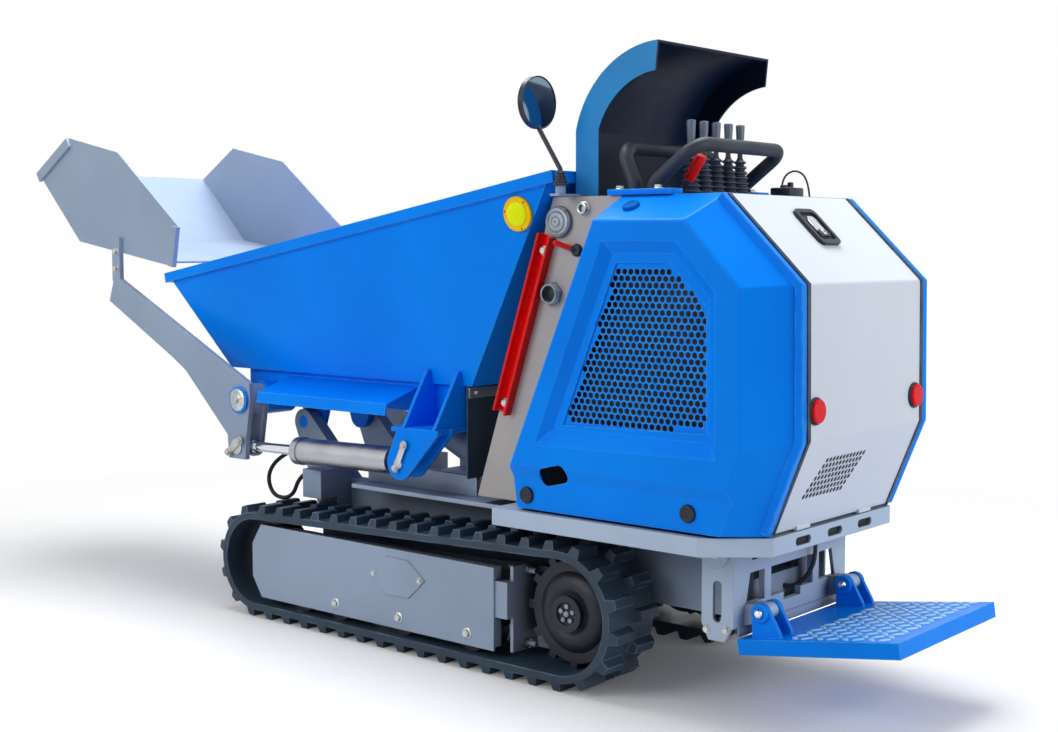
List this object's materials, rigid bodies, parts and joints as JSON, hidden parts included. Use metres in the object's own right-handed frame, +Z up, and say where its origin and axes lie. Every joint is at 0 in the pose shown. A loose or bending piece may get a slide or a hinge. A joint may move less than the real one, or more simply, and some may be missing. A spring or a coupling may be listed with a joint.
{
  "type": "tracked site dumper",
  "caption": "Tracked site dumper with a forward tipping skip, a self-loading shovel on lift arms, a folding rear step and a stand-on control console.",
  "frame": {"origin": "on the ground under the middle of the machine's length and width", "axes": "+X forward towards the shovel, +Y to the machine's left, +Z up"},
  "size_m": [3.2002, 0.792, 1.594],
  "materials": {
    "blue_paint": "gloss",
    "silver_paint": "satin",
    "rubber": "matt",
    "black_plastic": "matt",
    "dark_steel": "satin",
    "chrome": "polished",
    "cast_iron": "matt",
    "red_paint": "gloss",
    "red_lens": "gloss",
    "amber_lens": "gloss"
  },
  "bodies": {
    "chassis": {"chassis_frame": "silver_paint", "deck": "silver_paint", "rear_frame": "silver_paint", "tank": "silver_paint", "tank_fittings": "black_plastic", "safety_prop": "red_paint", "engine": "cast_iron", "console": "silver_paint", "levers": "rubber", "handlebars": "black_plastic", "cowl": "black_plastic", "mirror_feet": "silver_paint", "track_left": "rubber", "track_right": "rubber", "track_frame_left": "silver_paint", "track_frame_right": "silver_paint", "sprocket_left": "dark_steel", "sprocket_right": "dark_steel", "running_wheels_left": "dark_steel", "running_wheels_right": "dark_steel", "side_panel_left": "blue_paint", "side_panel_right": "blue_paint", "grille_left": "blue_paint", "grille_right": "blue_paint"},
    "skip": {"skip_tub": "blue_paint", "skip_frame": "blue_paint", "skip_reflectors": "amber_lens"},
    "loader": {"loader_arm_left": "silver_paint", "loader_arm_right": "silver_paint", "shovel": "silver_paint"},
    "loader_barrel_left": {"loader_barrel_left": "silver_paint"},
    "loader_barrel_right": {"loader_barrel_right": "silver_paint"},
    "loader_rod_left": {"loader_rod_left": "chrome"},
    "loader_rod_right": {"loader_rod_right": "chrome"},
    "tip_barrel": {"tip_barrel": "silver_paint"},
    "tip_rod": {"tip_rod": "chrome"},
    "step": {"step": "blue_paint"},
    "rear_door": {"rear_door": "silver_paint", "door_latch": "black_plastic", "rear_lamps": "red_lens"},
    "mirror_left": {"mirror_left": "black_plastic"},
    "mirror_right": {"mirror_right": "black_plastic"}
  },
  "joints": [
    {"name": "skip_tip", "type": "hinge", "parent": "chassis", "child": "skip", "pos_m": [0.4671, 0, 0.56], "axis": [0, 1, 0], "range_deg": [0, 85]},
    {"name": "loader_lift", "type": "hinge", "parent": "skip", "child": "loader", "pos_m": [0.5051, 0, 0.643], "axis": [0, -1, 0], "range_deg": [-62, 56]},
    {"name": "step_fold", "type": "hinge", "parent": "chassis", "child": "step", "pos_m": [-1.2329, 0, 0.245], "axis": [0, 1, 0], "range_deg": [0, 65]},
    {"name": "rear_door_open", "type": "hinge", "parent": "chassis", "child": "rear_door", "pos_m": [-1.2919, 0, 0.446], "axis": [0, 1, 0], "range_deg": [-65, 0]},
    {"name": "loader_barrel_swing_left", "type": "hinge", "parent": "skip", "child": "loader_barrel_left", "pos_m": [-0.1679, 0.328, 0.513], "axis": [0, -1, 0], "range_deg": [-0.98, 0.89]},
    {"name": "loader_rod_slide_left", "type": "slide", "parent": "loader_barrel_left", "child": "loader_rod_left", "axis": [0.9998, 0, -0.0188], "range_m": [-0.12946, 0.11698]},
    {"name": "loader_barrel_swing_right", "type": "hinge", "parent": "skip", "child": "loader_barrel_right", "pos_m": [-0.1679, -0.328, 0.513], "axis": [0, -1, 0], "range_deg": [-0.98, 0.89]},
    {"name": "loader_rod_slide_right", "type": "slide", "parent": "loader_barrel_right", "child": "loader_rod_right", "axis": [0.9998, 0, -0.0188], "range_m": [-0.12946, 0.11698]},
    {"name": "tip_barrel_swing", "type": "hinge", "parent": "chassis", "child": "tip_barrel", "pos_m": [-0.3779, 0, 0.38], "axis": [0, -1, 0], "range_deg": [-0.05, 5.92]},
    {"name": "tip_rod_slide", "type": "slide", "parent": "tip_barrel", "child": "tip_rod", "axis": [0.9098, 0, 0.415], "range_m": [-0.0005, 0.3779]},
    {"name": "mirror_turn_left", "type": "hinge", "parent": "chassis", "child": "mirror_left", "pos_m": [-0.7079, 0.33, 1.29], "axis": [0, 0, 1], "range_deg": [-40, 40]},
    {"name": "mirror_turn_right", "type": "hinge", "parent": "chassis", "child": "mirror_right", "pos_m": [-0.7079, -0.33, 1.29], "axis": [0, 0, 1], "range_deg": [-40, 40]}
  ],
  "couplings": [
    {"joint": "loader_barrel_swing_left", "follows": "loader_lift", "ratio": 0.015},
    {"joint": "loader_rod_slide_left", "follows": "loader_lift", "m_per_rad": 0.11918},
    {"joint": "loader_barrel_swing_right", "follows": "loader_lift", "ratio": 0.015},
    {"joint": "loader_rod_slide_right", "follows": "loader_lift", "m_per_rad": 0.11918},
    {"joint": "tip_barrel_swing", "follows": "skip_tip", "ratio": 0.069},
    {"joint": "tip_rod_slide", "follows": "skip_tip", "m_per_rad": 0.25439}
  ]
}
